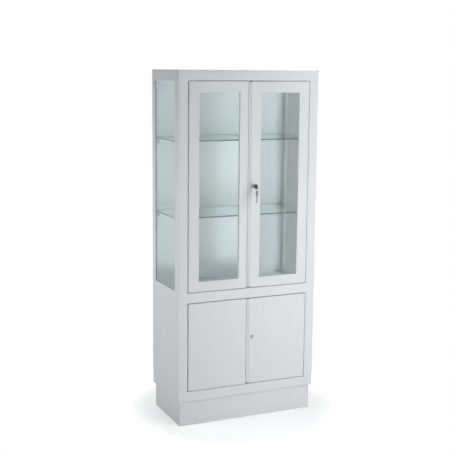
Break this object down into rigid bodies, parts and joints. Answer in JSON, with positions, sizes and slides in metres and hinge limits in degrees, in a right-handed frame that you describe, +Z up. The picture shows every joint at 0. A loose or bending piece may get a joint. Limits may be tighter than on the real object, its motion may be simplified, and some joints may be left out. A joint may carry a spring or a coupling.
{
  "type": "display cabinet",
  "caption": "Free-standing glazed display cabinet of white folded sheet steel on a recessed plinth, with hinged glass doors over plain doors, glass shelves and key locks.",
  "frame": {"origin": "on the floor, under the middle of the bounding box of the whole case with its keys", "axes": "+Z up, +X to the right seen from the front, +Y from the doors to the back panel"},
  "size_m": [0.77, 0.4296, 1.8],
  "materials": {
    "paint": "white powder coat, satin",
    "pane_glass": "clear float glass, polished",
    "shelf_glass": "clear float glass with ground green edges",
    "seal": "light grey glazing rubber",
    "black_rubber": "matt",
    "magnet": "dark sintered",
    "bush_brass": "turned",
    "chrome": "polished",
    "zinc_steel": "zinc plated",
    "key_steel": "nickel-plated, slightly worn",
    "black_plastic": "moulded, satin"
  },
  "bodies": {
    "cabinet": {"plinth": "paint", "plinth_bolts_and_nuts": "zinc_steel", "floor_pan": "paint", "left_side_panel": "paint", "right_side_panel": "paint", "back_panel": "paint", "back_rivets": "zinc_steel", "top_cap": "paint", "top_rail": "paint", "middle_rail": "paint", "bottom_rail": "paint", "middle_deck": "paint", "left_side_glass": "pane_glass", "right_side_glass": "pane_glass", "left_side_seal": "seal", "right_side_seal": "seal", "left_side_beads": "paint", "right_side_beads": "paint", "bead_studs_and_nuts": "zinc_steel", "lower_glass_shelf": "shelf_glass", "upper_glass_shelf": "shelf_glass", "shelf_clips": "zinc_steel", "shelf_pads": "black_rubber", "steel_shelf": "paint", "hinge_bushes": "bush_brass", "door_buffers": "black_rubber", "door_magnets": "magnet"},
    "upper_left_door": {"upper_left_door_shell": "paint", "upper_left_door_frame": "paint", "upper_left_door_glass": "pane_glass", "upper_left_door_seal": "seal", "upper_left_hinge_pins": "zinc_steel", "upper_left_bolt_guides": "zinc_steel", "upper_left_keeper": "zinc_steel"},
    "upper_left_top_bolt": {"upper_left_top_bolt": "zinc_steel"},
    "upper_left_bottom_bolt": {"upper_left_bottom_bolt": "zinc_steel"},
    "upper_right_door": {"upper_right_door_shell": "paint", "upper_right_door_frame": "paint", "upper_right_door_glass": "pane_glass", "upper_right_door_seal": "seal", "upper_right_hinge_pins": "zinc_steel", "upper_lock_housing_and_nut": "chrome"},
    "upper_lock": {"upper_lock_plug": "chrome", "upper_lock_cam": "zinc_steel"},
    "upper_key": {"upper_key": "chrome", "upper_key_head": "black_plastic"},
    "key_ring": {"key_ring": "chrome"},
    "spare_key": {"spare_key": "key_steel"},
    "lower_left_door": {"lower_left_door_shell": "paint", "lower_left_door_liner": "paint", "lower_left_hinge_pins": "zinc_steel", "lower_left_bolt_guides": "zinc_steel", "lower_left_keeper": "zinc_steel"},
    "lower_left_bolt": {"lower_left_bolt": "zinc_steel"},
    "lower_right_door": {"lower_right_door_shell": "paint", "lower_right_door_liner": "paint", "lower_right_hinge_pins": "zinc_steel", "lower_lock_housing_and_nut": "chrome"},
    "lower_lock": {"lower_lock_plug": "chrome", "lower_lock_cam": "zinc_steel"}
  },
  "joints": [
    {"name": "upper_left_door_hinge", "type": "hinge", "parent": "cabinet", "child": "upper_left_door", "pos_m": [-0.316, -0.15425, 1.221], "axis": [0, 0, -1], "range_deg": [0, 110]},
    {"name": "upper_right_door_hinge", "type": "hinge", "parent": "cabinet", "child": "upper_right_door", "pos_m": [0.316, -0.15425, 1.221], "axis": [0, 0, 1], "range_deg": [0, 110]},
    {"name": "lower_left_door_hinge", "type": "hinge", "parent": "cabinet", "child": "lower_left_door", "pos_m": [-0.316, -0.15425, 0.412], "axis": [0, 0, -1], "range_deg": [0, 110]},
    {"name": "lower_right_door_hinge", "type": "hinge", "parent": "cabinet", "child": "lower_right_door", "pos_m": [0.316, -0.15425, 0.412], "axis": [0, 0, 1], "range_deg": [0, 110]},
    {"name": "upper_lock_turn", "type": "hinge", "parent": "upper_right_door", "child": "upper_lock", "pos_m": [0.022, -0.16125, 1.221], "axis": [0, 1, 0], "range_deg": [0, 90]},
    {"name": "lower_lock_turn", "type": "hinge", "parent": "lower_right_door", "child": "lower_lock", "pos_m": [0.022, -0.16125, 0.436], "axis": [0, 1, 0], "range_deg": [0, 90]},
    {"name": "upper_key_slide", "type": "slide", "parent": "upper_lock", "child": "upper_key", "axis": [0, -1, 0], "range_m": [0, 0.024]},
    {"name": "key_ring_hang", "type": "hinge", "parent": "upper_key", "child": "key_ring", "pos_m": [0.022, -0.20275, 1.21325], "axis": [0, 1, 0], "range_deg": [-90, 0]},
    {"name": "spare_key_swing", "type": "hinge", "parent": "key_ring", "child": "spare_key", "pos_m": [0.022, -0.20275, 1.19859], "axis": [-1, 0, 0], "range_deg": [-30, 60]},
    {"name": "upper_left_top_bolt_slide", "type": "slide", "parent": "upper_left_door", "child": "upper_left_top_bolt", "axis": [0, 0, 1], "range_m": [0, 0.012]},
    {"name": "upper_left_bottom_bolt_slide", "type": "slide", "parent": "upper_left_door", "child": "upper_left_bottom_bolt", "axis": [0, 0, -1], "range_m": [0, 0.012]},
    {"name": "lower_left_bolt_slide", "type": "slide", "parent": "lower_left_door", "child": "lower_left_bolt", "axis": [0, 0, -1], "range_m": [0, 0.012]}
  ],
  "couplings": [
    {"joint": "key_ring_hang", "follows": "upper_lock_turn", "ratio": -1}
  ]
}
